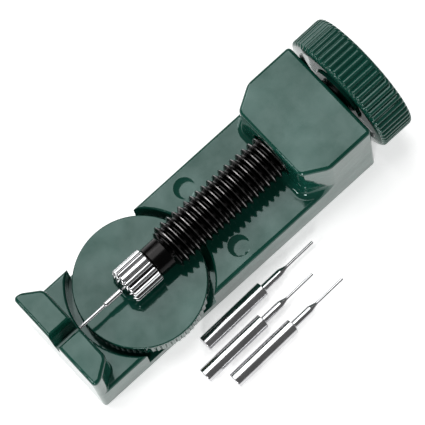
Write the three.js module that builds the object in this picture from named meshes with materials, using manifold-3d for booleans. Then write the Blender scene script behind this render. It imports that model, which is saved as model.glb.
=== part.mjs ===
// Bench-top remover for watch bracelet link pins. Millimetres, +Z up.
// +X runs along the feed screw from the anvil to the knob, and the origin is the middle of the underside.
import * as THREE from "three";
import { mergeVertices } from "three/addons/utils/BufferGeometryUtils.js";
import Module from "manifold-3d";

// ---- Driving dimensions ----

// Body moulding
const BODY_LENGTH = 85.6;
const BODY_WIDTH = 28;
const BED_HEIGHT = 11.6;
const ANVIL_HEIGHT = 25.3;
const ANVIL_THICKNESS = 6.7;
const ANVIL_CHAMFER = { along: 4.7, across: 3.3 };
const NOTCH_WIDTH_TOP = 3.6;
const NOTCH_WIDTH_BOTTOM = 1.9;
const NOTCH_DEPTH = 8.6;
const HEAD_HEIGHT = 28;
const HEAD_LENGTH = 19.1;
const HEAD_CHAMFER = { along: 6.2, across: 3.6 };

// Feed screw, its pin and its chuck
const AXIS_HEIGHT = 18;
const THREAD_RADIUS = 5.6;
const THREAD_START = -8.4;
const NECK_RADIUS = 4;
const NOSE_RADIUS = 2.9;
const NOSE_END = -20.9;
const CHUCK_RADIUS = 4.6;
const CHUCK_FRONT = -23.2;
const CHUCK_REAR = -13.8;
const PIN_TIP = -35.8;
const PIN_TIP_RADIUS = 0.4;
const PIN_NECK_RADIUS = 0.64;
const PIN_SHANK_RADIUS = 1.97;
const PIN_SHANK_LENGTH = 19;

// Knob
const KNOB_RADIUS = 16;
const KNOB_FRONT = 44.4;
const KNOB_REAR = 53.4;

// Table
const TABLE_X = -18;
const TABLE_RADIUS = 16;
const TABLE_FACE_RADIUS = 15.5;
const TABLE_TOP = 12.1;
const TABLE_THICKNESS = 5.5;
const TABLE_POST_RADIUS = 2;
const POCKET_RADIUS = 17.45;
const POCKET_FLOOR = 3.7;

// Base cover and its screws
const COVER_THICKNESS = 1.3;
const COVER_MARGIN = 1.6;
const SCREW_PLACES = [
  [-39.3, 9.5],
  [-39.3, -9.5],
  [23.9, 9.5],
  [23.9, -9.5],
];

// Loose spare pins, lying beside the body
const SPARE_LENGTH = { shank: 18.8, neck: 5.6, cone: 2, tip: 8.4 };
const SPARE_RADIUS = { shank: 1.97, neck: 1, tip: 0.36 };
const SPARE_ANGLE = 1.3;
const SPARE_PLACES = [
  [-16.1, -19.2],
  [-21.2, -24.8],
  [-16.9, -30.4],
];

const RUNNING_GAP = 0.06;
const SEAT_GAP = 0.15;
const BODY_FRONT = -BODY_LENGTH / 2;
const BODY_REAR = BODY_LENGTH / 2;
const HEAD_FRONT = BODY_REAR - HEAD_LENGTH;
const HALF_WIDTH = BODY_WIDTH / 2;

// ---- Materials ----

function material(colour, roughness, metalness) {
  return new THREE.MeshStandardMaterial({ color: colour, roughness, metalness });
}

const GREEN_PLASTIC = material(0x0c4630, 0.12, 0);
const BLACK_STEEL = material(0x151516, 0.3, 0.8);
const CHROME = material(0xd8dadd, 0.12, 1);
const STEEL = material(0xb4b6ba, 0.3, 1);
const BRASS = material(0xb5913f, 0.35, 1);
const BLACK_PLASTIC = material(0x1a1c1b, 0.55, 0);

// ---- Solids ----

const wasm = await Module();
wasm.setup();

// A closed geometry as a manifold-3d solid with its faces pointing out.
function solid(geometry) {
  const bare = geometry.clone();
  bare.deleteAttribute("normal");
  bare.deleteAttribute("uv");
  const merged = mergeVertices(bare, 1e-4);
  const index = merged.index.array;
  const triangles = [];
  for (let i = 0; i < index.length; i += 3) {
    const [a, b, c] = index.slice(i, i + 3);
    if (a !== b && b !== c && c !== a) triangles.push(a, b, c);
  }
  const vertProperties = merged.attributes.position.array;
  const build = (list) =>
    new wasm.Manifold(new wasm.Mesh({ numProp: 3, vertProperties, triVerts: new Uint32Array(list) }));
  const made = build(triangles);
  return made.volume() < 0 ? build(triangles.reverse()) : made;
}

// A manifold-3d solid as a geometry, flat shaded.
function geometryOf(body) {
  const mesh = body.getMesh();
  const geometry = new THREE.BufferGeometry();
  geometry.setAttribute("position", new THREE.BufferAttribute(mesh.vertProperties, mesh.numProp));
  geometry.setIndex(new THREE.BufferAttribute(mesh.triVerts, 1));
  geometry.computeVertexNormals();
  return geometry;
}

// A box from its lowest to its highest corner.
function box([x0, y0, z0], [x1, y1, z1]) {
  const geometry = new THREE.BoxGeometry(x1 - x0, y1 - y0, z1 - z0);
  return solid(geometry.translate((x0 + x1) / 2, (y0 + y1) / 2, (z0 + z1) / 2));
}

// An outline of [x, y] points standing from z0 to z1.
function prism(outline, z0, z1) {
  const shape = new THREE.Shape(outline.map(([x, y]) => new THREE.Vector2(x, y)));
  const geometry = new THREE.ExtrudeGeometry(shape, { depth: z1 - z0, bevelEnabled: false });
  return solid(geometry.translate(0, 0, z0));
}

// An outline of [y, z] points running from x0 to x1.
function prismAlongX(outline, x0, x1) {
  const shape = new THREE.Shape(outline.map(([y, z]) => new THREE.Vector2(y, z)));
  const geometry = new THREE.ExtrudeGeometry(shape, { depth: x1 - x0, bevelEnabled: false });
  const turn = new THREE.Matrix4().makeBasis(
    new THREE.Vector3(0, 1, 0),
    new THREE.Vector3(0, 0, 1),
    new THREE.Vector3(1, 0, 0),
  );
  return solid(geometry.applyMatrix4(turn).translate(x0, 0, 0));
}

// A turned solid about the vertical through (x, y), from [radius, z] points.
function turned(profile, x, y, segments) {
  const points = profile.map(([radius, z]) => new THREE.Vector2(radius, z));
  const geometry = new THREE.LatheGeometry(points, segments);
  return solid(geometry.rotateX(Math.PI / 2).translate(x, y, 0));
}

// A turned solid about the axis of the feed screw, from [x, radius] points.
function turnedAlongX(profile, segments) {
  const points = profile.map(([x, radius]) => new THREE.Vector2(radius, x));
  const geometry = new THREE.LatheGeometry(points, segments);
  return solid(geometry.rotateZ(-Math.PI / 2).translate(0, 0, AXIS_HEIGHT));
}

function cylinder(radius, x, y, z0, z1, segments) {
  return turned(
    [
      [0, z0],
      [radius, z0],
      [radius, z1],
      [0, z1],
    ],
    x,
    y,
    segments,
  );
}

function cylinderAlongX(radius, x0, x1, segments) {
  return turnedAlongX(
    [
      [x0, 0],
      [x0, radius],
      [x1, radius],
      [x1, 0],
    ],
    segments,
  );
}

// ---- Body ----

const NUT_RADIUS = 7.2;
const NUT_START = HEAD_FRONT + 2.9;
const TABLE_NUT = { radius: 3.8, flange: 4.6, bottom: 1.6, flangeTop: 2.4, top: 6.4 };
const SCREW = { headRadius: 2.1, headBottom: 0.1, headTop: 0.7, shankRadius: 1.05, top: 7 };

function anvil() {
  const inner = BODY_FRONT + ANVIL_THICKNESS;
  const { along, across } = ANVIL_CHAMFER;
  const wall = prism(
    [
      [BODY_FRONT, -HALF_WIDTH],
      [inner - along, -HALF_WIDTH],
      [inner, -HALF_WIDTH + across],
      [inner, HALF_WIDTH - across],
      [inner - along, HALF_WIDTH],
      [BODY_FRONT, HALF_WIDTH],
    ],
    0,
    ANVIL_HEIGHT,
  );
  const bottom = ANVIL_HEIGHT - NOTCH_DEPTH;
  const notch = prismAlongX(
    [
      [-NOTCH_WIDTH_BOTTOM / 2, bottom],
      [NOTCH_WIDTH_BOTTOM / 2, bottom],
      [NOTCH_WIDTH_TOP / 2, ANVIL_HEIGHT + 1],
      [-NOTCH_WIDTH_TOP / 2, ANVIL_HEIGHT + 1],
    ],
    BODY_FRONT - 1,
    inner + 1,
  );
  return wall.subtract(notch);
}

function head() {
  const { along, across } = HEAD_CHAMFER;
  return prism(
    [
      [HEAD_FRONT, -HALF_WIDTH + across],
      [HEAD_FRONT + along, -HALF_WIDTH],
      [BODY_REAR, -HALF_WIDTH],
      [BODY_REAR, HALF_WIDTH],
      [HEAD_FRONT + along, HALF_WIDTH],
      [HEAD_FRONT, HALF_WIDTH - across],
    ],
    0,
    HEAD_HEIGHT,
  );
}

// The ribbed hollow of the underside: cells either side of a long middle rib, under the bed and the head.
function undersideCells() {
  const halfRib = 1;
  const wall = 2.4;
  const start = COVER_THICKNESS;
  const bedTop = BED_HEIGHT - 2.2;
  const bossRadius = NUT_RADIUS + 2.2;
  const boss = cylinderAlongX(bossRadius, HEAD_FRONT, BODY_REAR, 40);
  const cells = [
    { from: 1.9, to: 10.6, top: bedTop },
    { from: 12.6, to: HEAD_FRONT - 2.4, top: bedTop },
    { from: HEAD_FRONT + 2.8, to: HEAD_FRONT + 8.7, top: 16 },
    { from: HEAD_FRONT + 10.7, to: BODY_REAR - wall, top: 16 },
  ];
  const made = [];
  for (const { from, to, top } of cells) {
    for (const side of [-1, 1]) {
      const near = side * halfRib;
      const far = side * (HALF_WIDTH - wall);
      const low = [from, Math.min(near, far), start];
      const high = [to, Math.max(near, far), top];
      made.push(box(low, high).subtract(boss));
    }
  }
  return made;
}

function bodyShell() {
  const base = box([BODY_FRONT, -HALF_WIDTH, 0], [BODY_REAR, HALF_WIDTH, BED_HEIGHT]);
  const inset = COVER_MARGIN - 0.3;
  const coverSeat = box(
    [BODY_FRONT + inset, -HALF_WIDTH + inset, -1],
    [BODY_REAR - inset, HALF_WIDTH - inset, COVER_THICKNESS + 0.1],
  );
  const cuts = [
    coverSeat,
    ...undersideCells(),
    cylinder(POCKET_RADIUS, TABLE_X, 0, POCKET_FLOOR, BED_HEIGHT + 2, 96),
    cylinder(TABLE_NUT.radius + SEAT_GAP, TABLE_X, 0, 0, POCKET_FLOOR + 1, 32),
    cylinder(TABLE_NUT.flange + SEAT_GAP, TABLE_X, 0, 0, TABLE_NUT.flangeTop + SEAT_GAP, 32),
    cylinderAlongX(THREAD_RADIUS + 0.3, HEAD_FRONT - 1, BODY_REAR + 1, 40),
    cylinderAlongX(NUT_RADIUS + SEAT_GAP, NUT_START, BODY_REAR + 1, 40),
    ...SCREW_PLACES.map(([x, y]) => cylinder(SCREW.shankRadius + 0.2, x, y, 0, SCREW.top + 1, 16)),
  ];
  return cuts.reduce((body, cut) => body.subtract(cut), base.add(anvil()).add(head()));
}

function baseCover() {
  const plate = box(
    [BODY_FRONT + COVER_MARGIN, -HALF_WIDTH + COVER_MARGIN, 0],
    [BODY_REAR - COVER_MARGIN, HALF_WIDTH - COVER_MARGIN, COVER_THICKNESS],
  );
  return SCREW_PLACES.reduce((cover, [x, y]) => {
    const hole = cylinder(SCREW.shankRadius + 0.3, x, y, -1, COVER_THICKNESS + 1, 16);
    const recess = cylinder(SCREW.headRadius + 0.2, x, y, -1, SCREW.headTop + 0.1, 24);
    return cover.subtract(hole).subtract(recess);
  }, plate);
}

function coverScrew([x, y]) {
  return turned(
    [
      [0, SCREW.headBottom],
      [SCREW.headRadius, SCREW.headBottom],
      [SCREW.headRadius, SCREW.headTop],
      [SCREW.shankRadius, SCREW.headTop],
      [SCREW.shankRadius, SCREW.top - 0.8],
      [0, SCREW.top],
    ],
    x,
    y,
    16,
  );
}

// ---- Feed screw group ----

const SHOULDER = CHUCK_REAR + 0.2;
const PIN_SHOULDER = NOSE_END - 0.45;
const PIN_STEP = -27.7;
const TANG_START = KNOB_FRONT - 0.2;
const TANG_END = 51;
const TANG_RADIUS = 4;
const KNOB_SCREW_RADIUS = 1.2;

function spindle() {
  const boreRadius = PIN_SHANK_RADIUS + RUNNING_GAP;
  const boreEnd = PIN_SHOULDER + PIN_SHANK_LENGTH + 0.3;
  const tapRadius = KNOB_SCREW_RADIUS + 0.1;
  return turnedAlongX(
    [
      [boreEnd, 0],
      [boreEnd, boreRadius],
      [NOSE_END, boreRadius],
      [NOSE_END, NOSE_RADIUS - 0.3],
      [NOSE_END + 0.3, NOSE_RADIUS],
      [SHOULDER, NOSE_RADIUS],
      [SHOULDER, NECK_RADIUS],
      [THREAD_START - 1, NECK_RADIUS],
      [THREAD_START, THREAD_RADIUS],
      [TANG_START, THREAD_RADIUS],
      [TANG_START, TANG_RADIUS],
      [TANG_END, TANG_RADIUS],
      [TANG_END, tapRadius],
      [TANG_START + 0.6, tapRadius],
      [TANG_START + 0.6, 0],
    ],
    40,
  );
}

function spindleNut() {
  const bore = THREAD_RADIUS + RUNNING_GAP;
  const start = NUT_START + SEAT_GAP;
  const end = BODY_REAR - 0.4;
  return turnedAlongX(
    [
      [start, bore],
      [start, NUT_RADIUS],
      [end, NUT_RADIUS],
      [end, bore],
      [start, bore],
    ],
    40,
  );
}

function pushPin() {
  const rear = PIN_SHOULDER + PIN_SHANK_LENGTH;
  return turnedAlongX(
    [
      [PIN_TIP, 0],
      [PIN_TIP, PIN_TIP_RADIUS - 0.1],
      [PIN_TIP + 0.2, PIN_TIP_RADIUS],
      [PIN_STEP - 0.5, PIN_TIP_RADIUS],
      [PIN_STEP, PIN_NECK_RADIUS],
      [PIN_SHOULDER, PIN_NECK_RADIUS],
      [PIN_SHOULDER, PIN_SHANK_RADIUS],
      [rear, PIN_SHANK_RADIUS],
      [rear, 0],
    ],
    20,
  );
}

function chuckNut() {
  const bore = NOSE_RADIUS + 0.1;
  const mouth = PIN_NECK_RADIUS + 0.3;
  const wall = PIN_SHOULDER - 0.2;
  return turnedAlongX(
    [
      [CHUCK_REAR, bore],
      [CHUCK_REAR, CHUCK_RADIUS - 0.4],
      [CHUCK_REAR - 0.4, CHUCK_RADIUS],
      [CHUCK_FRONT + 1.6, CHUCK_RADIUS],
      [CHUCK_FRONT, CHUCK_RADIUS - 2.1],
      [CHUCK_FRONT, mouth],
      [wall, mouth],
      [wall, bore],
      [CHUCK_REAR, bore],
    ],
    36,
  );
}

function knob() {
  const bore = TANG_RADIUS + 0.15;
  const hubRadius = 6.5;
  const hollowRadius = 12.8;
  const hollowFloor = KNOB_FRONT + 3.6;
  return turnedAlongX(
    [
      [KNOB_FRONT, bore],
      [KNOB_FRONT, KNOB_RADIUS - 0.7],
      [KNOB_FRONT + 0.7, KNOB_RADIUS],
      [KNOB_REAR - 0.8, KNOB_RADIUS],
      [KNOB_REAR, KNOB_RADIUS - 0.8],
      [KNOB_REAR, hollowRadius],
      [hollowFloor, hollowRadius],
      [hollowFloor, hubRadius],
      [TANG_END, hubRadius],
      [TANG_END, bore],
      [KNOB_FRONT, bore],
    ],
    64,
  );
}

const WASHER_START = TANG_END + SEAT_GAP;
const WASHER_END = WASHER_START + 0.8;

function knobWasher() {
  const hole = KNOB_SCREW_RADIUS + 0.3;
  return turnedAlongX(
    [
      [WASHER_START, hole],
      [WASHER_START, 5.6],
      [WASHER_END, 5.6],
      [WASHER_END, hole],
      [WASHER_START, hole],
    ],
    32,
  );
}

function knobScrew() {
  const headStart = WASHER_END + SEAT_GAP;
  return turnedAlongX(
    [
      [TANG_START + 1.6, 0],
      [TANG_START + 1.6, KNOB_SCREW_RADIUS],
      [headStart, KNOB_SCREW_RADIUS],
      [headStart, 2.8],
      [KNOB_REAR - 0.5, 2.8],
      [KNOB_REAR - 0.15, 2.2],
      [KNOB_REAR - 0.15, 0],
    ],
    20,
  );
}

// ---- Table ----

const TABLE_UNDERSIDE = TABLE_TOP - TABLE_THICKNESS;
const HUB_BOTTOM = TABLE_TOP - 2.7;
const POST_SOCKET_TOP = TABLE_TOP - 0.9;

function tableDisc() {
  const hollowRadius = 8;
  const hubRadius = 4;
  const socket = TABLE_POST_RADIUS + RUNNING_GAP;
  return turned(
    [
      [0, TABLE_TOP],
      [TABLE_FACE_RADIUS - 0.3, TABLE_TOP],
      [TABLE_FACE_RADIUS, TABLE_TOP - 0.3],
      [TABLE_FACE_RADIUS, TABLE_TOP - 0.7],
      [TABLE_RADIUS, TABLE_TOP - 1],
      [TABLE_RADIUS, TABLE_UNDERSIDE + 0.4],
      [TABLE_RADIUS - 0.4, TABLE_UNDERSIDE],
      [hollowRadius, TABLE_UNDERSIDE],
      [hollowRadius, HUB_BOTTOM + 0.9],
      [hubRadius, HUB_BOTTOM + 0.9],
      [hubRadius, HUB_BOTTOM],
      [socket, HUB_BOTTOM],
      [socket, POST_SOCKET_TOP],
      [0, POST_SOCKET_TOP],
    ],
    TABLE_X,
    0,
    72,
  );
}

function tableScrew() {
  return cylinder(TABLE_POST_RADIUS, TABLE_X, 0, 4.1, POST_SOCKET_TOP - SEAT_GAP, 24);
}

function tableNut() {
  const { radius, flange, bottom, flangeTop, top } = TABLE_NUT;
  const bore = TABLE_POST_RADIUS + RUNNING_GAP;
  return turned(
    [
      [bore, bottom],
      [flange, bottom],
      [flange, flangeTop],
      [radius, flangeTop],
      [radius, top],
      [bore, top],
      [bore, bottom],
    ],
    TABLE_X,
    0,
    32,
  );
}

// ---- Spare pins ----

// One spare pin along +X from its shank's end, with its axis on the X axis.
function sparePinGeometry() {
  const neckStart = SPARE_LENGTH.shank;
  const coneStart = neckStart + SPARE_LENGTH.neck;
  const tipStart = coneStart + SPARE_LENGTH.cone;
  const end = tipStart + SPARE_LENGTH.tip;
  const { shank, neck, tip } = SPARE_RADIUS;
  const profile = [
    [0, 0],
    [0, shank - 0.25],
    [0.25, shank],
    [neckStart - 0.25, shank],
    [neckStart, shank - 0.25],
    [neckStart, neck],
    [coneStart, neck],
    [tipStart, tip],
    [end, tip],
    [end, 0],
  ];
  const points = profile.map(([x, radius]) => new THREE.Vector2(radius, x));
  return geometryOf(solid(new THREE.LatheGeometry(points, 20).rotateZ(-Math.PI / 2)));
}

function sparePin(name, [x, y]) {
  const mesh = new THREE.Mesh(sparePinGeometry(), STEEL);
  mesh.name = name;
  mesh.rotation.z = THREE.MathUtils.degToRad(SPARE_ANGLE);
  mesh.position.set(x, y, SPARE_RADIUS.shank + 0.03);
  return mesh;
}

// ---- Assembly ----

function piece(name, body, finish) {
  const mesh = new THREE.Mesh(geometryOf(body), finish);
  mesh.name = name;
  return mesh;
}

const body = new THREE.Group();
body.add(
  piece("body_shell", bodyShell(), GREEN_PLASTIC),
  piece("base_cover", baseCover(), BLACK_PLASTIC),
  piece("spindle_nut", spindleNut(), BRASS),
  piece("table_nut", tableNut(), BRASS),
  ...SCREW_PLACES.map((place, i) => piece(`cover_screw_${i + 1}`, coverScrew(place), STEEL)),
);

const feed = new THREE.Group();
feed.add(
  piece("spindle", spindle(), BLACK_STEEL),
  piece("push_pin", pushPin(), STEEL),
  piece("chuck_nut", chuckNut(), CHROME),
  piece("knob", knob(), GREEN_PLASTIC),
  piece("knob_washer", knobWasher(), STEEL),
  piece("knob_screw", knobScrew(), STEEL),
);

const table = new THREE.Group();
table.add(
  piece("table_disc", tableDisc(), GREEN_PLASTIC),
  piece("table_screw", tableScrew(), BRASS),
);

const spares = new THREE.Group();
spares.add(...SPARE_PLACES.map((place, i) => sparePin(`spare_pin_${i + 1}`, place)));

const remover = new THREE.Group();
remover.add(body, feed, table, spares);

export default remover;
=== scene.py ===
"""Looks of a watch bracelet link pin remover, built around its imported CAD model. Metres, +Z up.

+X runs along the feed screw from the anvil to the knob. The spare pins lie on the -Y side.
"""

import math

import bmesh
import bpy
from mathutils import Matrix, Vector


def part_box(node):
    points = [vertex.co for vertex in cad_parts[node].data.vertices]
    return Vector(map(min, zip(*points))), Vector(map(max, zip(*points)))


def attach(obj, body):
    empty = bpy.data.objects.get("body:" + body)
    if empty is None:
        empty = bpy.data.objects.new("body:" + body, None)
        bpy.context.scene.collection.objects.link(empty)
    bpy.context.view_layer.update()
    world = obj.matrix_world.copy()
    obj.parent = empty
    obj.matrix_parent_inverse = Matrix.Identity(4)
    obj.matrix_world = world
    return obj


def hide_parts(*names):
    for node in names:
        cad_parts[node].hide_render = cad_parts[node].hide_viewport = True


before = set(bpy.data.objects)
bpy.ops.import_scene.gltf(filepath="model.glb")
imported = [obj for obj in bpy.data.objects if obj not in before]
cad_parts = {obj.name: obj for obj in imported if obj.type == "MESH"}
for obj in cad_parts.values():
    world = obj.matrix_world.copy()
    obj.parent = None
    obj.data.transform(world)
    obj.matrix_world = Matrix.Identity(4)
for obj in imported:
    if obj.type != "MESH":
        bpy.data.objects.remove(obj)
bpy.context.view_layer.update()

MM = 0.001
MERGE = 1e-6
TURN = 2 * math.pi

# ---- Places and sizes, from the frame ----

BODY_LOW, BODY_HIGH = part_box("body_shell")
COVER_LOW, COVER_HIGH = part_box("base_cover")
SPINDLE_LOW, SPINDLE_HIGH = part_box("spindle")
CHUCK_LOW, CHUCK_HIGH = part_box("chuck_nut")
PIN_LOW, PIN_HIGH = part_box("push_pin")
KNOB_LOW, KNOB_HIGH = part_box("knob")
TABLE_LOW, TABLE_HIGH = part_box("table_disc")
POST_LOW, POST_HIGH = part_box("table_screw")
TABLE_NUT_LOW, TABLE_NUT_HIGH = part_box("table_nut")
SPINDLE_NUT_LOW, SPINDLE_NUT_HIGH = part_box("spindle_nut")
WASHER_LOW, WASHER_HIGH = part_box("knob_washer")
KNOB_SCREW_LOW, KNOB_SCREW_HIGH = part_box("knob_screw")

AXIS_HEIGHT = (KNOB_LOW.z + KNOB_HIGH.z) / 2
TABLE_X = (TABLE_LOW.x + TABLE_HIGH.x) / 2
HALF_WIDTH = BODY_HIGH.y
BED_HEIGHT = 11.6 * MM
COVER_SCREWS = range(1, 5)
SPARE_PINS = range(1, 4)
HEAD_FRONT = BODY_HIGH.x - 19.1 * MM
ANVIL_INNER = BODY_LOW.x + 6.7 * MM

# ---- Mesh tools ----


def object_of(name, mesh_data):
    """A mesh made in bmesh as a piece of the scene, closed, with its faces pointing out."""
    bmesh.ops.remove_doubles(mesh_data, verts=mesh_data.verts, dist=MERGE)
    bmesh.ops.dissolve_degenerate(mesh_data, edges=mesh_data.edges, dist=MERGE)
    bmesh.ops.recalc_face_normals(mesh_data, faces=mesh_data.faces)
    if mesh_data.calc_volume(signed=True) < 0:
        bmesh.ops.reverse_faces(mesh_data, faces=mesh_data.faces)
    mesh = bpy.data.meshes.new(name)
    mesh_data.to_mesh(mesh)
    mesh_data.free()
    piece = bpy.data.objects.new(name, mesh)
    bpy.context.scene.collection.objects.link(piece)
    return piece


def along_screw(along, radius, angle):
    """A point at that distance along the feed screw's axis."""
    return Vector((along, radius * math.cos(angle), AXIS_HEIGHT + radius * math.sin(angle)))


def footprint(low, high):
    """The x, y middle of a box."""
    return (low.x + high.x) / 2, (low.y + high.y) / 2


def upright(x, y):
    """The same for a vertical axis through x, y."""

    def place(along, radius, angle):
        return Vector((x + radius * math.cos(angle), y + radius * math.sin(angle), along))

    return place


def lofted(rows, columns, place):
    """A closed surface through rows of (along, radius) points, one point for each column round the axis."""
    made = bmesh.new()
    grid = [
        [made.verts.new(place(along, radius, TURN * j / columns)) for j, (along, radius) in enumerate(row)]
        for row in rows
    ]
    for lower, upper in zip(grid, grid[1:]):
        for j in range(columns):
            made.faces.new((lower[j], lower[j + 1], upper[j + 1], upper[j]))
    return made


def plain_rows(profile, columns):
    """Rows of a turned shape from its (along, radius) profile."""
    return [[(along, radius)] * (columns + 1) for along, radius in profile]


def fluted_rows(profile, depth, pattern, count):
    """Rows of a fluted shape from (along, radius, share of the depth). The pattern is one flute."""
    columns = len(pattern) * count
    return [
        [(along, radius - share * depth * pattern[j % len(pattern)]) for j in range(columns + 1)]
        for along, radius, share in profile
    ]


def thread_rows(start, end, crest, pitch, depth, run_in, columns):
    """Rows of a right-handed thread with square ends. run_in(along) is the largest radius there."""
    shape = [0.0, 0.33, 0.67, 1.0, 1.0, 0.67, 0.33, 0.0]
    steps = len(shape)
    turns = math.ceil((end - start) / pitch) + 1
    rows = []
    for i in range(turns * steps + 1):
        row = []
        for j in range(columns + 1):
            along = start + pitch * (i / steps - 1 + j / columns)
            clamped = min(max(along, start), end)
            phase = (i + (clamped - along) / pitch * steps) % steps
            before, share = int(phase), phase % 1
            sunk = shape[before] * (1 - share) + shape[(before + 1) % steps] * share
            row.append((clamped, min(crest - depth * sunk, run_in(clamped))))
        rows.append(row)
    return rows


def turned(name, profile, columns, place):
    return object_of(name, lofted(plain_rows(profile, columns), columns, place))


def prism(outline, low, high, axis="Z"):
    """A closed prism of (a, b) outline points: over (x, y) along Z, or over (y, z) along X."""
    made = bmesh.new()
    place = (lambda a, b, c: (a, b, c)) if axis == "Z" else (lambda a, b, c: (c, a, b))
    bottom = [made.verts.new(place(a, b, low)) for a, b in outline]
    top = [made.verts.new(place(a, b, high)) for a, b in outline]
    ends = [made.faces.new(bottom), made.faces.new(top)]
    bmesh.ops.triangulate(made, faces=ends)
    for k in range(len(outline)):
        following = (k + 1) % len(outline)
        made.faces.new((bottom[k], bottom[following], top[following], top[k]))
    return made


def cut(piece, made):
    """Cuts the bmesh solid out of the piece for good."""
    tool = object_of("tool", made)
    change = piece.modifiers.new("cut", "BOOLEAN")
    change.operation = "DIFFERENCE"
    change.solver = "EXACT"
    change.object = tool
    graph = bpy.context.evaluated_depsgraph_get()
    result = bpy.data.meshes.new_from_object(piece.evaluated_get(graph))
    piece.modifiers.clear()
    piece.data = result
    bpy.data.objects.remove(tool)


def smooth(piece, sharp_degrees=38):
    """Smooth shading with sharp creases, where large faces keep their own normals."""
    mesh = piece.data
    mesh.shade_smooth()
    mesh.set_sharp_from_angle(angle=math.radians(sharp_degrees))
    weighting = piece.modifiers.new("normals", "WEIGHTED_NORMAL")
    weighting.keep_sharp = True
    weighting.weight = 60
    return piece


def finished(piece, body, slot, material, *nodes):
    """Gives a piece its material and says what it rides on and stands for."""
    piece.data.materials.clear()
    piece.data.materials.append(material)
    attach(piece, body)
    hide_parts(*nodes)
    return piece


# ---- Materials ----


class Finish:
    """A node material under construction, patterned in the object's own coordinates."""

    def __init__(self, name, **settings):
        self.material = bpy.data.materials.new(name)
        self.material.use_nodes = True
        self.nodes = self.material.node_tree.nodes
        self.links = self.material.node_tree.links
        self.shader = self.nodes["Principled BSDF"]
        for socket, value in settings.items():
            self.shader.inputs[socket.replace("_", " ")].default_value = value
        self.place = self.nodes.new("ShaderNodeTexCoord").outputs["Object"]
        self.height = None

    def node(self, kind, inputs, **settings):
        """A new node. An input is a plain value or another node's output."""
        made = self.nodes.new("ShaderNode" + kind)
        for key, value in settings.items():
            setattr(made, key, value)
        for key, value in inputs.items():
            if isinstance(value, bpy.types.NodeSocket):
                self.links.new(value, made.inputs[key])
            else:
                made.inputs[key].default_value = value
        return made

    def stretched(self, origin=(0, 0, 0), scale=(1, 1, 1)):
        """The place measured from the origin and scaled along each axis."""
        shifted = self.node("VectorMath", {0: self.place, 1: origin}, operation="SUBTRACT").outputs[0]
        return self.node("VectorMath", {0: shifted, 1: scale}, operation="MULTIPLY").outputs[0]

    def noise(self, scale, detail=3.0, roughness=0.5, vector=None):
        inputs = {"Vector": vector or self.place, "Scale": scale, "Detail": detail, "Roughness": roughness}
        return self.node("TexNoise", inputs).outputs["Fac"]

    def ramp(self, value, start, end, low=0.0, high=1.0):
        inputs = {"Value": value, "From Min": start, "From Max": end, "To Min": low, "To Max": high}
        return self.node("MapRange", inputs).outputs["Result"]

    def distance(self, origin, scale):
        """The distance from a line or plane, in metres: scale is 0 along it."""
        offset = self.stretched(origin, scale)
        return self.node("VectorMath", {0: offset}, operation="LENGTH").outputs["Value"]

    def colour(self, factor, first, second):
        """A base colour between the two."""
        mixed = self.node("Mix", {"Factor": factor}, data_type="RGBA")
        for socket, value in ((6, first), (7, second)):
            mixed.inputs[socket].default_value = (*value, 1)
        self.links.new(mixed.outputs[2], self.shader.inputs["Base Color"])

    def rough(self, value):
        self.links.new(value, self.shader.inputs["Roughness"])

    def bump(self, value, distance, strength=1.0):
        """Adds a layer of relief, distance metres high."""
        inputs = {"Height": value, "Distance": distance, "Strength": strength}
        made = self.node("Bump", inputs)
        if self.height:
            self.links.new(self.height, made.inputs["Normal"])
        self.height = made.outputs["Normal"]
        self.links.new(self.height, self.shader.inputs["Normal"])


GREEN_DARK = (0.0035, 0.044, 0.029)
GREEN_LIGHT = (0.0055, 0.056, 0.04)
SHEEN = (0.8, 1.0, 0.97, 1)


def green_plastic(name, turning_centre=None):
    """Glossy moulded plastic: slow colour drift, orange peel, finger smudges and a few hair scuffs."""
    made = Finish(name, IOR=1.48, Specular_Tint=SHEEN)
    made.colour(made.ramp(made.noise(70), 0.35, 0.65), GREEN_DARK, GREEN_LIGHT)
    smudges = made.ramp(made.noise(120, 5, 0.6), 0.5, 0.75, 0.055, 0.12)
    hairs = made.noise(900, 2, 0.5, made.stretched(scale=(1, 0.06, 1)))
    scuffs = made.ramp(hairs, 0.72, 0.8, 0, 0.1)
    made.rough(made.node("Math", {0: smudges, 1: scuffs}, operation="ADD").outputs[0])
    made.bump(made.noise(420, 2), 6e-6, 0.5)
    made.bump(made.noise(95, 3, 0.55), 2e-4, 0.6)
    handled = made.ramp(made.noise(130, 6, 0.65), 0.32, 0.68, 0.36, 0.62)
    made.links.new(handled, made.shader.inputs["Specular IOR Level"])
    if turning_centre:
        rings = made.distance(turning_centre, (1, 1, 0))
        marks = made.node("TexNoise", {"W": rings, "Scale": 2600.0, "Detail": 3.0}, noise_dimensions="1D")
        made.bump(marks.outputs["Fac"], 2.2e-6, 0.5)
    return made.material


def black_plastic():
    """Matt moulded plastic with a fine spark-eroded grain."""
    made = Finish("black_plastic")
    made.colour(made.noise(90), (0.012, 0.013, 0.013), (0.024, 0.026, 0.025))
    made.rough(made.ramp(made.noise(300, 4), 0.3, 0.7, 0.42, 0.6))
    made.bump(made.noise(2600, 3, 0.7), 2.5e-5, 0.6)
    return made.material


def metal(name, dark, light, roughness):
    """Bare metal with slow colour drift and uneven polish."""
    made = Finish(name, Metallic=1.0)
    made.colour(made.ramp(made.noise(160, 4), 0.35, 0.65), dark, light)
    low, high = roughness
    made.rough(made.ramp(made.noise(380, 5, 0.65), 0.35, 0.7, low, high))
    return made


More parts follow.
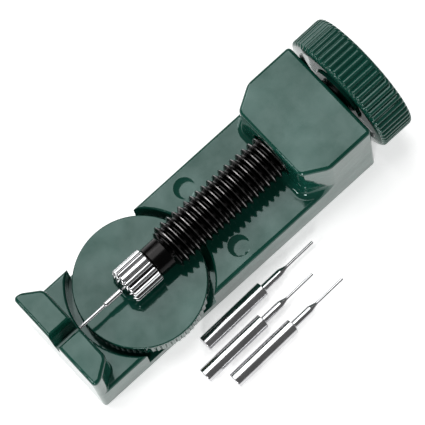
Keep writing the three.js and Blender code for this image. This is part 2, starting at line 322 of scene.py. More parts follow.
def black_steel():
    """Oiled black oxide on a turned screw, rubbed bright along the crests of its thread."""
    made = Finish("black_steel", Metallic=1.0)
    from_axis = made.distance((0, 0, AXIS_HEIGHT), (0, 1, 1))
    crest = made.ramp(from_axis, 5.5 * MM, 5.6 * MM)
    patchy = made.ramp(made.noise(500, 4), 0.35, 0.65, 0.25, 1.0)
    worn = made.node("Math", {0: crest, 1: patchy}, operation="MULTIPLY").outputs[0]
    made.colour(worn, (0.014, 0.0135, 0.0135), (0.2, 0.19, 0.19))
    made.rough(made.ramp(made.noise(420, 4), 0.3, 0.7, 0.16, 0.28))
    lines = made.node(
        "TexNoise",
        {"Vector": made.stretched(scale=(1, 0.02, 0.02)), "Scale": 5200.0, "Detail": 2.0},
    )
    made.bump(lines.outputs["Fac"], 6e-6, 0.5)
    return made.material


def fluted_chrome():
    """Bright chrome with painted shade down in the flutes, which start behind the nose cone."""
    made = Finish("chrome", Metallic=1.0)
    from_axis = made.distance((0, 0, AXIS_HEIGHT), (0, 1, 1))
    # Painted shade: the flute bottoms get a near-black base colour, while the lands and the nose stay bright.
    raised = made.ramp(from_axis, 4.2 * MM, 4.5 * MM)
    from_front = made.distance((CHUCK_LOW.x, 0, 0), (1, 0, 0))
    nose = made.ramp(from_front, 1.2 * MM, 2.2 * MM, 1.0, 0.0)
    unshaded = made.node("Math", {0: raised, 1: nose}, operation="MAXIMUM").outputs[0]
    patchy = made.ramp(made.noise(300, 4), 0.35, 0.65, 0.85, 1.0)
    unshaded = made.node("Math", {0: unshaded, 1: patchy}, operation="MULTIPLY").outputs[0]
    # Dark colour = painted shade in the flutes; the patchy noise only varies the tone.
    made.colour(unshaded, (0.06, 0.06, 0.06), (0.7, 0.71, 0.72))
    made.rough(made.ramp(made.noise(380, 5, 0.65), 0.35, 0.7, 0.06, 0.14))
    return made.material


def turned_metal(name, dark, light, roughness, origin, line_scale, relief):
    """Metal with fine tool lines round an axis, where line_scale is 1 along it and near 0 across it."""
    made = metal(name, dark, light, roughness)
    lines = made.noise(6500, 2, 0.6, made.stretched(origin, line_scale))
    made.bump(lines, relief, 0.6)
    return made.material


# ---- Body moulding ----

ANVIL_TOP = 25.3 * MM
HEAD_TOP = BODY_HIGH.z
ANVIL_CHAMFER = Vector((4.7, 3.3)) * MM
HEAD_CHAMFER = Vector((6.2, 3.6)) * MM
CORNER_ROUND = 1.0 * MM
FRONT_ROUND = 1.1 * MM
HEAD_FOOT_ROUND = 2.0 * MM
ANVIL_FOOT_ROUND = 0.3 * MM
TOP_ROUND = 0.95 * MM
LOWER_ROUND = 0.4 * MM
POCKET_RADIUS = 17.45 * MM
POCKET_FLOOR = 3.7 * MM
NUT_BORE = 7.35 * MM
SCREW_BORE = 5.9 * MM
DIMPLE_DEPTH = 0.4 * MM
DIMPLE_BALL = 10.5 * MM
DIMPLES = [(4.5 * MM, 9.4 * MM), (4.5 * MM, -9.4 * MM)]


def walls_and_bed():
    """The plain outer shape: the base block with the anvil wall and the head standing on it."""
    made = bmesh.new()
    known = {}

    def corner(x, y, z):
        place = (round(x / MM, 3), round(y / MM, 3), round(z / MM, 3))
        if place not in known:
            known[place] = made.verts.new((x, y, z))
        return known[place]

    def face(*corners):
        made.faces.new([corner(*place) for place in corners])

    front, rear, side, bed = BODY_LOW.x, BODY_HIGH.x, HALF_WIDTH, BED_HEIGHT
    anvil_side = ANVIL_INNER - ANVIL_CHAMFER.x
    anvil_flat = side - ANVIL_CHAMFER.y
    head_side = HEAD_FRONT + HEAD_CHAMFER.x
    head_flat = side - HEAD_CHAMFER.y
    for y in (-side, side):
        outline = [(front, 0), (rear, 0), (rear, HEAD_TOP), (head_side, HEAD_TOP)]
        outline += [(head_side, bed), (anvil_side, bed), (anvil_side, ANVIL_TOP), (front, ANVIL_TOP)]
        face(*[(x, y, z) for x, z in outline])
    for x, top in ((front, ANVIL_TOP), (rear, HEAD_TOP)):
        face((x, -side, 0), (x, side, 0), (x, side, top), (x, -side, top))
    face((front, -side, 0), (rear, -side, 0), (rear, side, 0), (front, side, 0))
    walls = [
        (ANVIL_TOP, front, anvil_side, ANVIL_INNER, anvil_flat),
        (HEAD_TOP, rear, head_side, HEAD_FRONT, head_flat),
    ]
    feet = []
    for top, outer, chamfered, inner, flat in walls:
        foot = [(chamfered, -side), (inner, -flat), (inner, flat), (chamfered, side)]
        face((outer, -side, top), *[(x, y, top) for x, y in foot], (outer, side, top))
        for (x0, y0), (x1, y1) in zip(foot, foot[1:]):
            face((x0, y0, bed), (x1, y1, bed), (x1, y1, top), (x0, y0, top))
        feet += foot if not feet else foot[::-1]
    face(*[(x, y, bed) for x, y in feet])
    bmesh.ops.recalc_face_normals(made, faces=made.faces)
    return made


def bevel(made, edges, radius, steps):
    bmesh.ops.bevel(
        made,
        geom=list(edges),
        offset=radius,
        offset_type="OFFSET",
        segments=steps,
        profile=0.5,
        affect="EDGES",
        clamp_overlap=False,
    )


def middle(edge):
    return (edge.verts[0].co + edge.verts[1].co) / 2


def chosen(made, test, least=25, most=180):
    """The edges whose middle passes the test and whose signed angle is in that range: above 0 is convex."""
    return [
        edge
        for edge in made.edges
        if least < math.degrees(edge.calc_face_angle_signed(0)) < most and test(middle(edge))
    ]


def round_edges(made):
    """Rounds the moulding's upright corners, then its feet, then its upper edges, then its lower edge."""
    ends = (BODY_LOW.x, BODY_HIGH.x)
    near = 0.05 * MM

    def outer_corner(at):
        at_end = min(abs(at.x - end) for end in ends) < near
        return at_end and abs(at.y) > HALF_WIDTH - near and at.z > BED_HEIGHT

    def front_corner(at):
        flat = abs(at.y) < HALF_WIDTH - 3 * MM
        between = ANVIL_INNER - near < at.x < HEAD_FRONT + near
        return flat and between and abs(at.y) > 10 * MM and BED_HEIGHT + MM < at.z < ANVIL_TOP - MM

    def foot(at):
        return abs(at.z - BED_HEIGHT) < near

    bevel(made, chosen(made, outer_corner), CORNER_ROUND, 6)
    bevel(made, chosen(made, front_corner), FRONT_ROUND, 5)
    bevel(made, chosen(made, lambda at: foot(at) and at.x > 0, -180, -25), HEAD_FOOT_ROUND, 8)
    bevel(made, chosen(made, lambda at: foot(at) and at.x < 0, -180, -25), ANVIL_FOOT_ROUND, 3)
    bevel(made, chosen(made, lambda at: at.z > BED_HEIGHT - near), TOP_ROUND, 6)
    bevel(made, chosen(made, lambda at: at.z < near), LOWER_ROUND, 3)


def flared(wall, mouth, flare, outwards, steps=4):
    """Profile points that widen a bore at its mouth in an arc, so that the mouth's edge is rounded."""
    points = []
    for k in range(steps + 1):
        angle = TURN / 4 * k / steps
        along = mouth - outwards * flare * (1 - math.sin(angle))
        points.append((along, wall + flare * (1 - math.cos(angle))))
    return points


def pocket():
    """The round pocket that the table sits in, with a rounded rim."""
    rim = flared(POCKET_RADIUS, BED_HEIGHT, 0.6 * MM, 1, 6)
    profile = [(POCKET_FLOOR, 0), (POCKET_FLOOR, POCKET_RADIUS), *rim]
    profile += [(BED_HEIGHT + 2 * MM, rim[-1][1]), (BED_HEIGHT + 2 * MM, 0)]
    return lofted(plain_rows(profile, 144), 144, upright(TABLE_X, 0))


def screw_bores():
    """The clearance bore of the screw and the seat of its nut, through the head."""
    mouth = flared(SCREW_BORE, HEAD_FRONT, 0.35 * MM, -1)
    nut_start = HEAD_FRONT + 2.9 * MM
    profile = [(HEAD_FRONT - 2.5 * MM, 0), (HEAD_FRONT - 2.5 * MM, mouth[-1][1]), *mouth[::-1]]
    profile += [(nut_start, SCREW_BORE), (nut_start, NUT_BORE), *flared(NUT_BORE, BODY_HIGH.x, 0.3 * MM, 1)]
    profile += [(BODY_HIGH.x + MM, NUT_BORE + 0.3 * MM), (BODY_HIGH.x + MM, 0)]
    return lofted(plain_rows(profile, 96), 96, along_screw)


def notch():
    """The slot in the anvil that the pushed-out pin leaves through, rounded at its top and its floor."""
    floor_half, top_half, flare = 0.95 * MM, 1.72 * MM, 0.7 * MM
    bottom = ANVIL_TOP - 8.6 * MM
    right = [(floor_half - 0.35 * MM, bottom), (floor_half - 0.1 * MM, bottom + 0.1 * MM)]
    right += [(floor_half + 0.03 * MM, bottom + 0.35 * MM)]
    right += [(r, z) for z, r in flared(top_half, ANVIL_TOP, flare, 1)]
    right += [(top_half + flare, ANVIL_TOP + MM)]
    left = [(-y, z) for y, z in reversed(right)]
    return prism(right + left, BODY_LOW.x - MM, ANVIL_INNER + MM, "X")


def dimple(x, y):
    """The shallow dish that an ejector left in the bed, as a slice of a ball."""
    centre = BED_HEIGHT - DIMPLE_DEPTH + DIMPLE_BALL
    low = -math.pi / 2
    high = low + 1.4 * math.acos(1 - DIMPLE_DEPTH / DIMPLE_BALL)
    steps = 14
    angles = [low + (high - low) * k / steps for k in range(steps + 1)]
    profile = [(centre + DIMPLE_BALL * math.sin(angle), DIMPLE_BALL * math.cos(angle)) for angle in angles]
    profile[0] = (profile[0][0], 0)
    profile.append((profile[-1][0], 0))
    return lofted(plain_rows(profile, 64), 64, upright(x, y))


def underside():
    """The hollows below: the cover's seat, the ribbed cells, the table nut's seat and the screw holes."""
    wall, rib, inset = 2.4 * MM, MM, 1.3 * MM
    seat, cell_bottom = 1.4 * MM, 1.3 * MM
    hole = 1.25 * MM
    yield prism(
        [
            (BODY_LOW.x + inset, inset - HALF_WIDTH),
            (BODY_HIGH.x - inset, inset - HALF_WIDTH),
            (BODY_HIGH.x - inset, HALF_WIDTH - inset),
            (BODY_LOW.x + inset, HALF_WIDTH - inset),
        ],
        -MM,
        seat,
    )
    under_bed, under_bore = BED_HEIGHT - 2.2 * MM, 8.4 * MM
    cells = [
        (1.9 * MM, 10.6 * MM, under_bed),
        (12.6 * MM, HEAD_FRONT - 2.4 * MM, under_bed),
        (HEAD_FRONT + 2.8 * MM, HEAD_FRONT + 8.7 * MM, under_bore),
        (HEAD_FRONT + 10.7 * MM, BODY_HIGH.x - wall, under_bore),
    ]
    for start, end, top in cells:
        for side in (-1, 1):
            near, far = sorted((side * rib, side * (HALF_WIDTH - wall)))
            yield prism([(start, near), (end, near), (end, far), (start, far)], cell_bottom, top)
    flange, shank, step = 4.75 * MM, 3.95 * MM, 2.55 * MM
    nut = [(-MM, 0), (-MM, flange), (step, flange), (step, shank)]
    nut += [(POCKET_FLOOR + MM, shank), (POCKET_FLOOR + MM, 0)]
    yield lofted(plain_rows(nut, 50), 50, upright(TABLE_X, 0))
    for number in COVER_SCREWS:
        low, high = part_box(f"cover_screw_{number}")
        top = high.z + 0.7 * MM
        profile = [(-MM, 0), (-MM, hole), (top, hole), (top, 0)]
        yield lofted(plain_rows(profile, 24), 24, upright(*footprint(low, high)))


def body_moulding():
    made = walls_and_bed()
    round_edges(made)
    piece = object_of("body_moulding", made)
    dimples = [dimple(x, y) for x, y in DIMPLES]
    for solid in (*dimples, notch(), pocket(), screw_bores(), *underside()):
        cut(piece, solid)
    return smooth(piece)


# ---- Feed screw, chuck, pin and knob ----

THREAD_START = SPINDLE_LOW.x + 12.5 * MM
NECK_RADIUS = 4.0 * MM
THREAD_PITCH = 1.8 * MM
THREAD_RADIUS = 5.6 * MM
NOSE_RADIUS = 2.9 * MM
BORE_RADIUS = 2.03 * MM


def spindle():
    columns = 96
    tang_start = KNOB_LOW.x - 0.2 * MM
    shoulder = CHUCK_HIGH.x + 0.2 * MM
    run_start = THREAD_START - MM
    nose = [
        (PIN_HIGH.x + 0.3 * MM, 0),
        (PIN_HIGH.x + 0.3 * MM, BORE_RADIUS),
        (SPINDLE_LOW.x, BORE_RADIUS),
        (SPINDLE_LOW.x, NOSE_RADIUS - 0.35 * MM),
    ]
    neck = [
        (shoulder - 0.6 * MM, 2.45 * MM),
        (shoulder, 2.45 * MM),
        (shoulder, NECK_RADIUS - 0.3 * MM),
        (shoulder + 0.09 * MM, NECK_RADIUS - 0.09 * MM),
        (shoulder + 0.3 * MM, NECK_RADIUS),
    ]
    tang = [
        (tang_start, 4.0 * MM),
        (SPINDLE_HIGH.x - 0.3 * MM, 4.0 * MM),
        (SPINDLE_HIGH.x, 3.7 * MM),
        (SPINDLE_HIGH.x, 1.3 * MM),
        (KNOB_LOW.x + 0.4 * MM, 1.3 * MM),
        (KNOB_LOW.x + 0.4 * MM, 0),
    ]
    rows = plain_rows(nose, columns)
    rows += thread_rows(
        SPINDLE_LOW.x,
        shoulder - 0.6 * MM,
        NOSE_RADIUS,
        0.75 * MM,
        0.4 * MM,
        lambda along: NOSE_RADIUS - 0.35 * MM + max(0.0, along - SPINDLE_LOW.x),
        columns,
    )
    rows += plain_rows(neck, columns)
    rows += thread_rows(
        run_start,
        tang_start,
        THREAD_RADIUS,
        THREAD_PITCH,
        0.95 * MM,
        lambda along: min(
            NECK_RADIUS + 1.6 * (along - run_start),
            THREAD_RADIUS - 0.6 * MM + max(0.0, tang_start - along),
        ),
        columns,
    )
    rows += plain_rows(tang, columns)
    piece = object_of("spindle_screw", lofted(rows, columns, along_screw))
    return smooth(piece, 35)


CHUCK_FLUTES = 16
CHUCK_FLUTE = [1.0, 0.95, 0.55, 0.12, 0, 0, 0, 0, 0, 0.12, 0.55, 0.95]


def chuck():
    front, rear = CHUCK_LOW.x, CHUCK_HIGH.x
    radius = 4.6 * MM
    bore = NOSE_RADIUS + 0.1 * MM
    mouth = 0.94 * MM
    inner_wall = front + 1.65 * MM
    profile = [
        (rear, bore, 0),
        (rear, radius - 0.5 * MM, 0.2),
        (rear - 0.12 * MM, radius - 0.15 * MM, 0.7),
        (rear - 0.35 * MM, radius, 1),
        (front + 2.1 * MM, radius, 1),
        (front + 1.75 * MM, radius - 0.03 * MM, 0.9),
        (front + 1.5 * MM, radius - 0.14 * MM, 0.7),
        (front + 1.2 * MM, radius - 0.5 * MM, 0.35),
        (front + 0.95 * MM, radius - 0.85 * MM, 0),
        (front + 0.35 * MM, radius - 1.65 * MM, 0),
        (front + 0.1 * MM, radius - 2.0 * MM, 0),
        (front, radius - 2.3 * MM, 0),
        (front, mouth + 0.15 * MM, 0),
        (front + 0.15 * MM, mouth, 0),
        (inner_wall, mouth, 0),
        (inner_wall, bore, 0),
        (rear, bore, 0),
    ]
    rows = fluted_rows(profile, 0.55 * MM, CHUCK_FLUTE, CHUCK_FLUTES)
    piece = object_of("chuck_collet_nut", lofted(rows, len(CHUCK_FLUTE) * CHUCK_FLUTES, along_screw))
    return smooth(piece, 42)


def push_pin():
    tip, rear = PIN_LOW.x, PIN_HIGH.x
    shank_start = rear - 19 * MM
    step = tip + 8.1 * MM
    profile = [
        (tip, 0),
        (tip, 0.26 * MM),
        (tip + 0.06 * MM, 0.36 * MM),
        (tip + 0.18 * MM, 0.4 * MM),
        (step - 0.5 * MM, 0.4 * MM),
        (step - 0.35 * MM, 0.43 * MM),
        (step - 0.1 * MM, 0.6 * MM),
        (step + 0.1 * MM, 0.64 * MM),
        (shank_start, 0.64 * MM),
        (shank_start, 1.72 * MM),
        (shank_start + 0.25 * MM, 1.97 * MM),
        (rear - 0.25 * MM, 1.97 * MM),
        (rear, 1.72 * MM),
        (rear, 0),
    ]
    return smooth(turned("push_pin_turned", profile, 48, along_screw), 30)


KNOB_RIBS = 60
KNOB_RIB = [1.0, 0.62, 0.2, 0.04, 0, 0.04, 0.2, 0.62]


def knob():
    front, rear = KNOB_LOW.x, KNOB_HIGH.x
    radius = (KNOB_HIGH.z - KNOB_LOW.z) / 2
    floor = front + 3.6 * MM
    bore = 4.15 * MM
    hub_end = SPINDLE_HIGH.x
    profile = [
        (front, bore, 0),
        (front, 7.2 * MM, 0),
        (front + 0.5 * MM, 7.7 * MM, 0),
        (front + 0.5 * MM, 12.4 * MM, 0),
        (front, 12.9 * MM, 0),
        (front, radius - 0.9 * MM, 0),
        (front + 0.1 * MM, radius - 0.68 * MM, 0.2),
        (front + 0.35 * MM, radius - 0.3 * MM, 0.7),
        (front + 0.6 * MM, radius - 0.05 * MM, 0.95),
        (front + 0.9 * MM, radius, 1),
        (rear - 1.1 * MM, radius, 1),
        (rear - 0.75 * MM, radius - 0.03 * MM, 0.9),
        (rear - 0.4 * MM, radius - 0.2 * MM, 0.5),
        (rear - 0.15 * MM, radius - 0.45 * MM, 0.1),
        (rear, radius - 0.85 * MM, 0),
        (rear, 13.2 * MM, 0),
        (rear - 0.12 * MM, 12.9 * MM, 0),
        (rear - 0.4 * MM, 12.8 * MM, 0),
        (floor + 0.6 * MM, 12.7 * MM, 0),
        (floor + 0.15 * MM, 12.5 * MM, 0),
        (floor, 12.1 * MM, 0),
        (floor, 7.2 * MM, 0),
        (floor + 0.2 * MM, 6.7 * MM, 0),
        (floor + 0.7 * MM, 6.5 * MM, 0),
        (hub_end - 0.3 * MM, 6.5 * MM, 0),
        (hub_end, 6.2 * MM, 0),
        (hub_end, bore, 0),
        (front, bore, 0),
    ]
    rows = fluted_rows(profile, 0.62 * MM, KNOB_RIB, KNOB_RIBS)
    piece = object_of("knob_ribbed", lofted(rows, len(KNOB_RIB) * KNOB_RIBS, along_screw))
    return smooth(piece, 40)


def knob_washer():
    low, high = WASHER_LOW.x, WASHER_HIGH.x
    hole, edge = 1.5 * MM, 0.15 * MM
    outer = WASHER_HIGH.y
    profile = [
        (low, hole),
        (low, outer - edge),
        (low + edge, outer),
        (high - edge, outer),
        (high, outer - edge),
        (high, hole),
        (low, hole),
    ]
    return smooth(turned("knob_washer_turned", profile, 64, along_screw))


def cross(size, width):
    """The outlines of the two bars of a screw's cross recess."""
    half, arm = width / 2, size / 2
    return [
        [(-arm, -half), (arm, -half), (arm, half), (-arm, half)],
        [(-half, -arm), (half, -arm), (half, arm), (-half, arm)],
    ]


def knob_screw():
    start, end = KNOB_SCREW_LOW.x, KNOB_SCREW_HIGH.x
    shank, head = 1.2 * MM, 2.8 * MM
    head_start = WASHER_HIGH.x + 0.15 * MM
    profile = [
        (start, 0),
        (start, shank - 0.3 * MM),
        (start + 0.3 * MM, shank),
        (head_start, shank),
        (head_start, head - 0.1 * MM),
        (head_start + 0.1 * MM, head),
        (end - 0.5 * MM, head - 0.05 * MM),
        (end - 0.25 * MM, head - 0.3 * MM),
        (end - 0.08 * MM, head - 0.9 * MM),
        (end, head - 1.8 * MM),
        (end, 0),
    ]
    piece = turned("knob_screw_headed", profile, 48, along_screw)
    for outline in cross(2.6 * MM, 0.6 * MM):
        lifted = [(a, b + AXIS_HEIGHT) for a, b in outline]
        cut(piece, prism(lifted, end - 0.7 * MM, end + MM, "X"))
    return smooth(piece, 35)


# ---- Table ----

TABLE_TEETH = 72
TABLE_TOOTH = [1.0, 0.55, 0.12, 0, 0.12, 0.55]


def table_disc():
    top = TABLE_HIGH.z
    radius = (TABLE_HIGH.x - TABLE_LOW.x) / 2
    face = radius - 0.2 * MM
    underside = top - 5.5 * MM
    hub_bottom = top - 2.7 * MM
    socket, socket_top = 2.06 * MM, top - 0.9 * MM
    profile = [
        (top, 0, 0),
        (top, face - 0.3 * MM, 0),
        (top - 0.04 * MM, face - 0.15 * MM, 0),
        (top - 0.15 * MM, face - 0.04 * MM, 0),
        (top - 0.3 * MM, face, 0),
        (top - 0.65 * MM, face, 0),
        (top - 0.8 * MM, face + 0.05 * MM, 0.2),
        (top - 0.95 * MM, radius - 0.12 * MM, 0.8),
        (top - 1.1 * MM, radius - 0.1 * MM, 1),
        (underside + 0.7 * MM, radius - 0.1 * MM, 1),
        (underside + 0.3 * MM, radius - 0.2 * MM, 0.6),
        (underside + 0.08 * MM, radius - 0.35 * MM, 0.15),
        (underside, radius - 0.75 * MM, 0),
        (underside, 8.2 * MM, 0),
        (underside + 0.2 * MM, 8.0 * MM, 0),
        (hub_bottom + 0.6 * MM, 8.0 * MM, 0),
        (hub_bottom + 0.9 * MM, 7.7 * MM, 0),
        (hub_bottom + 0.9 * MM, 4.3 * MM, 0),
        (hub_bottom + 0.6 * MM, 4.0 * MM, 0),
        (hub_bottom + 0.15 * MM, 4.0 * MM, 0),
        (hub_bottom, 3.85 * MM, 0),
        (hub_bottom, socket, 0),
        (socket_top, socket, 0),
        (socket_top, 0, 0),
    ]
    rows = fluted_rows(profile, 0.5 * MM, TABLE_TOOTH, TABLE_TEETH)
    place = upright(TABLE_X, 0)
    piece = object_of("table_toothed", lofted(rows, len(TABLE_TOOTH) * TABLE_TEETH, place))
    return smooth(piece, 40)


def table_post():
    columns = 48
    low, high = POST_LOW.z, POST_HIGH.z
    radius = 2.0 * MM
    rows = plain_rows([(low, 0), (low, 1.4 * MM)], columns)
    rows += thread_rows(
        low,
        high,
        radius,
        MM,
        0.45 * MM,
        lambda along: 1.4 * MM + min(max(0.0, along - low), 0.6 * MM),
        columns,
    )
    rows += plain_rows([(high, 1.4 * MM), (high, 0)], columns)
    return smooth(object_of("table_post_threaded", lofted(rows, columns, upright(TABLE_X, 0))), 60)


def table_nut():
    low, high = TABLE_NUT_LOW.z, TABLE_NUT_HIGH.z
    bore, flange, radius = 2.06 * MM, TABLE_NUT_HIGH.y, 3.8 * MM
    edge = 0.12 * MM
    profile = [
        (low, bore + edge, 0),
        (low, flange - edge, 0),
        (low + edge, flange, 0),
        (low + 0.8 * MM - edge, flange, 0),
        (low + 0.8 * MM, flange - edge, 0),
        (low + 0.8 * MM, radius, 0),
        (low + 1.1 * MM, radius, 1),
        (high - 0.4 * MM, radius, 1),
        (high, radius - 0.3 * MM, 0),
        (high, bore + edge, 0),
        (high - edge, bore, 0),
        (low + edge, bore, 0),
        (low, bore + edge, 0),
    ]
    rows = fluted_rows(profile, 0.22 * MM, [1, 0.4, 0, 0.4], 30)
    return smooth(object_of("table_nut_knurled", lofted(rows, 120, upright(TABLE_X, 0))), 35)


def spindle_nut():
    low, high = SPINDLE_NUT_LOW.x, SPINDLE_NUT_HIGH.x
    bore, radius = THREAD_RADIUS + 0.06 * MM, SPINDLE_NUT_HIGH.y
    edge = 0.3 * MM
    profile = [
        (low, bore + edge, 0),
        (low, radius - edge, 0),
        (low + edge, radius, 0),
        (low + 2.4 * MM, radius, 0),
        (low + 2.7 * MM, radius, 1),
        (high - 2.7 * MM, radius, 1),
        (high - 2.4 * MM, radius, 0),
        (high - edge, radius, 0),
        (high, radius - edge, 0),
        (high, bore + edge, 0),
        (high - edge, bore, 0),
        (low + edge, bore, 0),
        (low, bore + edge, 0),
    ]
    rows = fluted_rows(profile, 0.3 * MM, [1, 0.4, 0, 0.4], 40)
    return smooth(object_of("spindle_nut_knurled", lofted(rows, 160, along_screw)), 35)


# ---- Base cover and its screws ----


def base_cover():
    low, high = COVER_LOW, COVER_HIGH
    corner, steps = 1.2 * MM, 5
    outline = []
    for quarter, (sx, sy) in enumerate([(1, 1), (-1, 1), (-1, -1), (1, -1)]):
        centre = Vector((sx * (high.x - corner), sy * (high.y - corner)))
        for k in range(steps + 1):
            angle = (quarter + k / steps) * TURN / 4
            outline.append((centre.x + corner * math.cos(angle), centre.y + corner * math.sin(angle)))
    piece = object_of("base_cover_plate", prism(outline, low.z, high.z))
    head, hole, head_seat = 2.3 * MM, 1.35 * MM, 0.8 * MM
    recess = [(-MM, 0), (-MM, head), (head_seat, head), (head_seat, hole), (3 * MM, hole), (3 * MM, 0)]
    for number in COVER_SCREWS:
        cut(piece, lofted(plain_rows(recess, 48), 48, upright(*footprint(*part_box(f"cover_screw_{number}")))))
    rounding = piece.modifiers.new("edges", "BEVEL")
    rounding.width = 0.12 * MM
    rounding.segments = 2
    rounding.limit_method = "ANGLE"
    rounding.angle_limit = math.radians(40)
    return smooth(piece)


def cover_screw(number):
    name = f"cover_screw_{number}"
    low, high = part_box(name)
    x, y = footprint(low, high)
    head, shank = 2.1 * MM, 1.05 * MM
    columns = 48
    head_rows = [
        (low.z, 0),
        (low.z, head - 0.25 * MM),
        (low.z + 0.08 * MM, head - 0.06 * MM),
        (low.z + 0.25 * MM, head),
        (low.z + 0.6 * MM, head),
        (low.z + 0.6 * MM, shank - 0.25 * MM),
    ]
    rows = plain_rows(head_rows, columns)
    rows += thread_rows(
        low.z + 0.6 * MM,
        high.z,
        shank,
        0.8 * MM,
        0.25 * MM,
        lambda along: max(0.0, min(shank, (high.z - along) * 1.3)),
        columns,
    )
    piece = object_of(name + "_headed", lofted(rows, columns, upright(x, y)))
    for outline in cross(2.3 * MM, 0.5 * MM):
        shifted = [(a + x, b + y) for a, b in outline]
        cut(piece, prism(shifted, low.z - MM, low.z + 0.45 * MM))
    return smooth(piece, 45)


# ---- Spare pins ----

SPARE_ANGLE = math.radians(1.3)


def spare_pin(number):
    name = f"spare_pin_{number}"
    low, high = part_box(name)
    shank, neck, tip = 1.97 * MM, 1.0 * MM, 0.36 * MM
    start = Vector((
        low.x + math.sin(SPARE_ANGLE) * shank,
        low.y + math.cos(SPARE_ANGLE) * shank,
        (low.z + high.z) / 2,
    ))
    neck_start, cone_start, tip_start, end = 18.8 * MM, 24.4 * MM, 26.4 * MM, 34.8 * MM
    profile = [
        (0, 0),
        (0, shank - 0.25 * MM),
        (0.08 * MM, shank - 0.08 * MM),
        (0.25 * MM, shank),
        (neck_start - 0.25 * MM, shank),
        (neck_start - 0.08 * MM, shank - 0.08 * MM),
        (neck_start, shank - 0.25 * MM),
        (neck_start, neck + 0.15 * MM),
        (neck_start + 0.15 * MM, neck),
        (cone_start - 0.2 * MM, neck),
        (cone_start + 0.15 * MM, neck - 0.08 * MM),
        (tip_start - 0.3 * MM, tip + 0.07 * MM),
        (tip_start + 0.3 * MM, tip),
        (end - 0.12 * MM, tip),
        (end, tip - 0.12 * MM),
        (end, 0),
    ]
    turn = Matrix.Translation(start) @ Matrix.Rotation(SPARE_ANGLE, 4, "Z")

    def place(along, radius, angle):
        return turn @ Vector((along, radius * math.cos(angle), radius * math.sin(angle)))

    return smooth(turned(name + "_turned", profile, 56, place), 30)


# ---- Object ----

green = green_plastic("green_plastic")
green_table = green_plastic("green_plastic_table", (TABLE_X, 0, 0))
chrome = fluted_chrome()
pin_steel = turned_metal(
    "pin_steel", (0.5, 0.5, 0.51), (0.62, 0.62, 0.63), (0.14, 0.24), (0, 0, 0), (1, 0.02, 0.02), 3e-6
)
screw_steel = turned_metal(
    "screw_steel", (0.42, 0.43, 0.45), (0.56, 0.57, 0.59), (0.2, 0.34), (0, 0, 0), (1, 1, 1), 4e-6
)
brass = turned_metal(
    "brass", (0.5, 0.33, 0.11), (0.66, 0.46, 0.18), (0.2, 0.32), (0, 0, 0), (1, 0.02, 0.02), 5e-6
)

finished(body_moulding(), "base", "green_plastic", green, "body_shell")
finished(base_cover(), "base", "black_plastic", black_plastic(), "base_cover")
finished(spindle_nut(), "base", "brass", brass, "spindle_nut")
finished(table_nut(), "base", "brass", brass, "table_nut")
for number in COVER_SCREWS:
    finished(cover_screw(number), "base", "screw_steel", screw_steel, f"cover_screw_{number}")
finished(push_pin(), "feed", "pin_steel", pin_steel, "push_pin")
finished(spindle(), "screw", "black_steel", black_steel(), "spindle")
finished(knob(), "screw", "green_plastic", green, "knob")
finished(knob_washer(), "screw", "screw_steel", screw_steel, "knob_washer")
finished(knob_screw(), "screw", "screw_steel", screw_steel, "knob_screw")
finished(chuck(), "chuck", "chrome", chrome, "chuck_nut")
finished(table_post(), "table_post", "brass", brass, "table_screw")
finished(table_disc(), "table", "green_plastic", green_table, "table_disc")
for number in SPARE_PINS:
    finished(spare_pin(number), f"spare_{number}", "pin_steel", pin_steel, f"spare_pin_{number}")

# ---- Stage, light and camera ----

VIEW_AZIMUTH = math.radians(-24.49)
VIEW_ELEVATION = math.radians(75.80)
VIEW_ROLL = math.radians(-18.3)
VIEW_DISTANCE = 0.8103
VIEW_CENTRE = Vector((5.3, 0.6, 12)) * MM
SENSOR = 36
LENS = 296.5
FLOOR_GLOW = 0.55
SURROUNDINGS = 0.14


def view_axes():
    """The camera's right, up and back directions."""
    flat = math.cos(VIEW_ELEVATION)
    back = Vector((
        math.sin(VIEW_AZIMUTH) * flat,
        -math.cos(VIEW_AZIMUTH) * flat,
        math.sin(VIEW_ELEVATION),
    ))
    level = Vector((math.cos(VIEW_AZIMUTH), math.sin(VIEW_AZIMUTH), 0))
    above = back.cross(level)
    right = math.cos(VIEW_ROLL) * level + math.sin(VIEW_ROLL) * above
    return right, back.cross(right), back


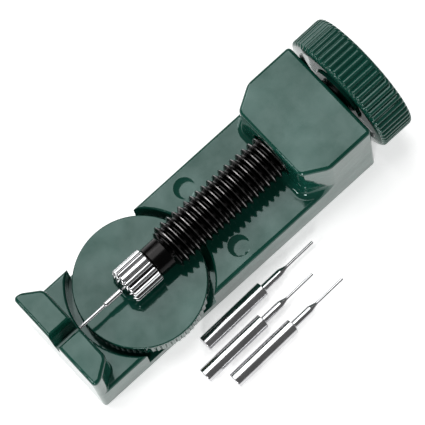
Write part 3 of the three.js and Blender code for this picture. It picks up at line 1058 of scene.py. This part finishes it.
def camera():
    right, up, back = view_axes()
    data = bpy.data.cameras.new("camera")
    data.lens = LENS
    data.sensor_width = SENSOR
    data.clip_start = 0.05
    data.clip_end = 20
    made = bpy.data.objects.new("camera", data)
    made.matrix_world = Matrix.Translation(VIEW_CENTRE + back * VIEW_DISTANCE) @ Matrix((
        (right.x, up.x, back.x, 0),
        (right.y, up.y, back.y, 0),
        (right.z, up.z, back.z, 0),
        (0, 0, 0, 1),
    ))
    bpy.context.scene.collection.objects.link(made)
    bpy.context.scene.camera = made


def softbox(name, direction, distance, width, radiance):
    """A flat round lamp that faces the object, of that radiance."""
    data = bpy.data.lights.new(name, "AREA")
    data.shape = "DISK"
    data.size = width
    area = math.pi * width ** 2 / 4
    data.energy = radiance * math.pi * area
    made = bpy.data.objects.new(name, data)
    towards = Vector(direction).normalized()
    made.location = VIEW_CENTRE + towards * distance
    made.rotation_mode = "QUATERNION"
    made.rotation_quaternion = towards.to_track_quat("Z", "Y")
    bpy.context.scene.collection.objects.link(made)


def floor():
    """A plain pale table top, a hair under the object."""
    made = bmesh.new()
    bmesh.ops.create_grid(made, x_segments=1, y_segments=1, size=1.5)
    plane = object_of("floor", made)
    plane.location.z = -0.05 * MM
    finish = Finish("floor", Roughness=0.6)
    finish.colour(finish.noise(9), (0.86, 0.86, 0.86), (0.9, 0.9, 0.9))
    finish.shader.inputs["Emission Color"].default_value = (1, 1, 1, 1)
    finish.shader.inputs["Emission Strength"].default_value = FLOOR_GLOW
    plane.data.materials.append(finish.material)


def surroundings():
    world = bpy.data.worlds.new("studio")
    world.use_nodes = True
    world.node_tree.nodes["Background"].inputs["Color"].default_value = (1, 1, 1, 1)
    world.node_tree.nodes["Background"].inputs["Strength"].default_value = SURROUNDINGS
    bpy.context.scene.world = world


_, up_direction, back_direction = view_axes()
mirrored = Vector((-back_direction.x, -back_direction.y, back_direction.z))


def turned_aside(degrees, sideways):
    """The direction that lies that far from the mirror direction of level faces, towards sideways."""
    angle = math.radians(degrees)
    return mirrored * math.cos(angle) + Vector(sideways).normalized() * math.sin(angle)


camera()
floor()
surroundings()
softbox("overhead", turned_aside(12, (-0.3, 1, 0)), 1.2, 1.0, 3.4)
softbox("side_band", turned_aside(44, (-0.25, 1, 0)), 0.9, 0.42, 3.4)
softbox("kicker_front", turned_aside(56, (-1, 0, 0)), 0.9, 0.16, 22)
softbox("kicker_low", turned_aside(58, -up_direction), 0.9, 0.25, 20)
bpy.context.scene.view_settings.view_transform = "Standard"
